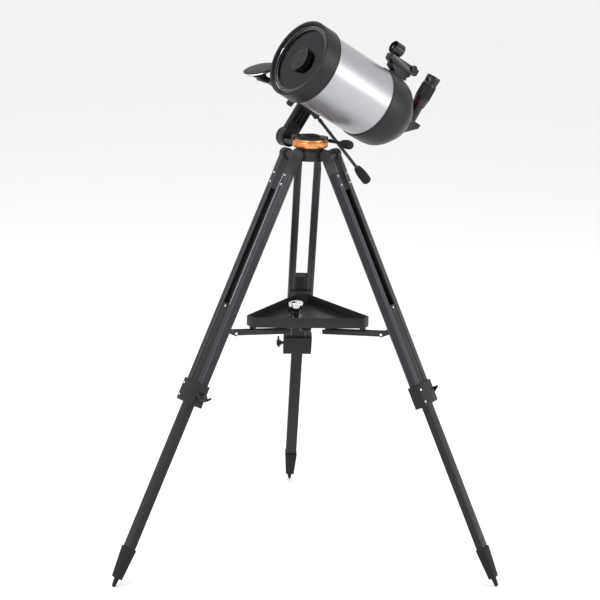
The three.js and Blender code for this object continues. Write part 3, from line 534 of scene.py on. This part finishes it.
for number in LEGS:
    leg = leg_frame(number)
    body = f"leg_{number}"
    sliding = f"lower_leg_{number}"
    rail_middle = (RAIL_INNER + RAIL_OUTER) / 2
    for side, name in ((-1, "rail_left"), (1, "rail_right")):
        mesh = grooved(name, RAIL_HALF_DEPTH, RAIL_INNER, RAIL_OUTER, RAIL_BOTTOM, RAIL_TOP)
        if side < 0:
            mesh.transform(Matrix.Scale(-1, 4, (0, 1, 0)))
            mesh.flip_normals()
        piece(f"{name}_{number}_profile", mesh, leg, RAIL, body, f"{name}_{number}", 0.5)
        for height in (-53, -76):
            spot = at(leg, RAIL_HALF_DEPTH, rail_middle * side, height) @ FACE_FORWARD
            screw(f"{name}_{number}_screw{-height}", spot, 2.6, 1.6, body)
    hinge_plate = brick("hinge_plate", (-14, -26, -466), (-10.3, 26, -428))
    ears = [brick("ear", (-46, side - 1.5, -450), (-12, side + 1.5, -438)) for side in (-11.5, 11.5)]
    piece(f"spreader_bracket_{number}", joined("bracket", [hinge_plate, *ears]), leg, CASTING, body,
          bevel=1.2)
    pin = [(-14.5, 0), (-14.5, 3.2), (-13, 3.6), (13, 3.6), (14.5, 3.2), (14.5, 0)]
    piece(f"spreader_pin_{number}", turned("pin", pin, 24), at(leg, *SPREADER_PIVOT) @ FACE_LEFT, STEEL, body)
    column = extruded(
        "column", rounded_rectangle(LOWER_LEG_HALF_DEPTH, LOWER_LEG_HALF_WIDTH, 1.5),
        LOWER_LEG_BOTTOM, LOWER_LEG_TOP,
    )
    piece(f"lower_leg_{number}_profile", column, leg, LOWER, sliding,
          f"lower_leg_{number}", 0.3)
    screw(f"lower_leg_{number}_top_screw", at(leg, LOWER_LEG_HALF_DEPTH, 0,
                                              LOWER_LEG_TOP - 7) @ FACE_FORWARD, 2.8, 1.6, sliding)
    screw(f"foot_{number}_screw", at(leg, LOWER_LEG_HALF_DEPTH, 0, LOWER_LEG_BOTTOM + 18) @ FACE_FORWARD,
          3.0, 1.2, sliding)
    refined(f"top_bracket_{number}", leg, CASTING, 1.8)
    refined(f"leg_clamp_{number}", leg, PLASTIC, 2.0)
    for height in (-597, -627):
        spot = at(leg, 14.3, -30, height) @ FACE_FORWARD
        screw(f"clamp_{number}_bolt{-height}", spot, 3.0, 1.6, body)
    refined(f"wing_knob_{number}", leg, SMOOTH_PLASTIC, 1.5)
    boot = cad_copy(f"foot_{number}", leg)
    boot.transform(Matrix.Diagonal((BOOT_NARROWING, BOOT_NARROWING, 1, 1)))
    boot.transform(Matrix.Scale(1 / MM, 4) @ leg @ Matrix.Scale(MM, 4))
    piece(f"foot_{number}_boot", boot, Matrix.Identity(4), RUBBER, sliding, f"foot_{number}", 1.0)
    refined(f"spreader_arm_{number}", leg, STEEL_BLACK, 0.6)

for node, material in (("primary_mirror", MIRROR), ("secondary_mirror", MIRROR), ("baffle_tube", FLOCK)):
    frame["nodes"][node].data.materials.clear()
    frame["nodes"][node].data.materials.append(material)

# ---------------------------------------------------------------- floor, light and camera
FLOOR = finish("studio_floor", (0.93, 0.93, 0.93), 0.55, 0.0, 8, 0.0, shade=0.02)
floor = bpy.data.objects.new("floor", new_mesh("floor",
                                               [(-60, -60, 0), (60, -60, 0), (60, 60, 0), (-60, 60, 0)],
                                               [(0, 1, 2, 3)]))
bpy.context.scene.collection.objects.link(floor)
floor.data.materials.append(FLOOR)

world = bpy.data.worlds.new("studio")
bpy.context.scene.world = world
world.use_nodes = True
world.node_tree.nodes["Background"].inputs["Color"].default_value = (1, 1, 1, 1)
world.node_tree.nodes["Background"].inputs["Strength"].default_value = 0.95
bpy.context.scene.view_settings.view_transform = "Standard"


def softbox(name, place, aim, width, height, power):
    light = bpy.data.lights.new(name, "AREA")
    light.shape = "RECTANGLE"
    light.size, light.size_y, light.energy = width, height, power
    lamp = bpy.data.objects.new(name, light)
    bpy.context.scene.collection.objects.link(lamp)
    lamp.matrix_world = pointing(Vector(place), Vector(place) - Vector(aim))


softbox("key", (-2.6, -2.6, 3.4), (0, 0, 1.0), 1.2, 1.2, 60)
softbox("fill", (3.2, -2.4, 2.2), (0, 0, 0.9), 0.9, 2.0, 30)
softbox("top", (0.2, 0.6, 3.6), (0, 0, 1.1), 2.4, 1.0, 25)

softbox("strip", (-2.2, -3.4, 1.9), (0, 0, 1.1), 0.12, 2.4, 30)
softbox("edge", (3.0, -1.2, 1.6), (0, 0, 1.0), 0.15, 2.4, 30)

CAMERA_AT = (-0.28936, -4.46033, 1.66989)
CAMERA_TURN = math.radians(-4.396)
PITCH, ROLL = 0.234, 0.028
spin = Matrix.Rotation(CAMERA_TURN, 4, "Z")
look = spin @ Matrix.Rotation(math.pi / 2 - PITCH, 4, "X") @ Matrix.Rotation(ROLL, 4, "Z")
camera_data = bpy.data.cameras.new("camera")
camera_data.lens = 109.54
camera_data.sensor_width = 36
camera_data.shift_x = -0.0402
camera_data.shift_y = 0.0030
camera_data.clip_end = 100
camera = bpy.data.objects.new("camera", camera_data)
bpy.context.scene.collection.objects.link(camera)
look.translation = CAMERA_AT
camera.matrix_world = look
bpy.context.scene.camera = camera
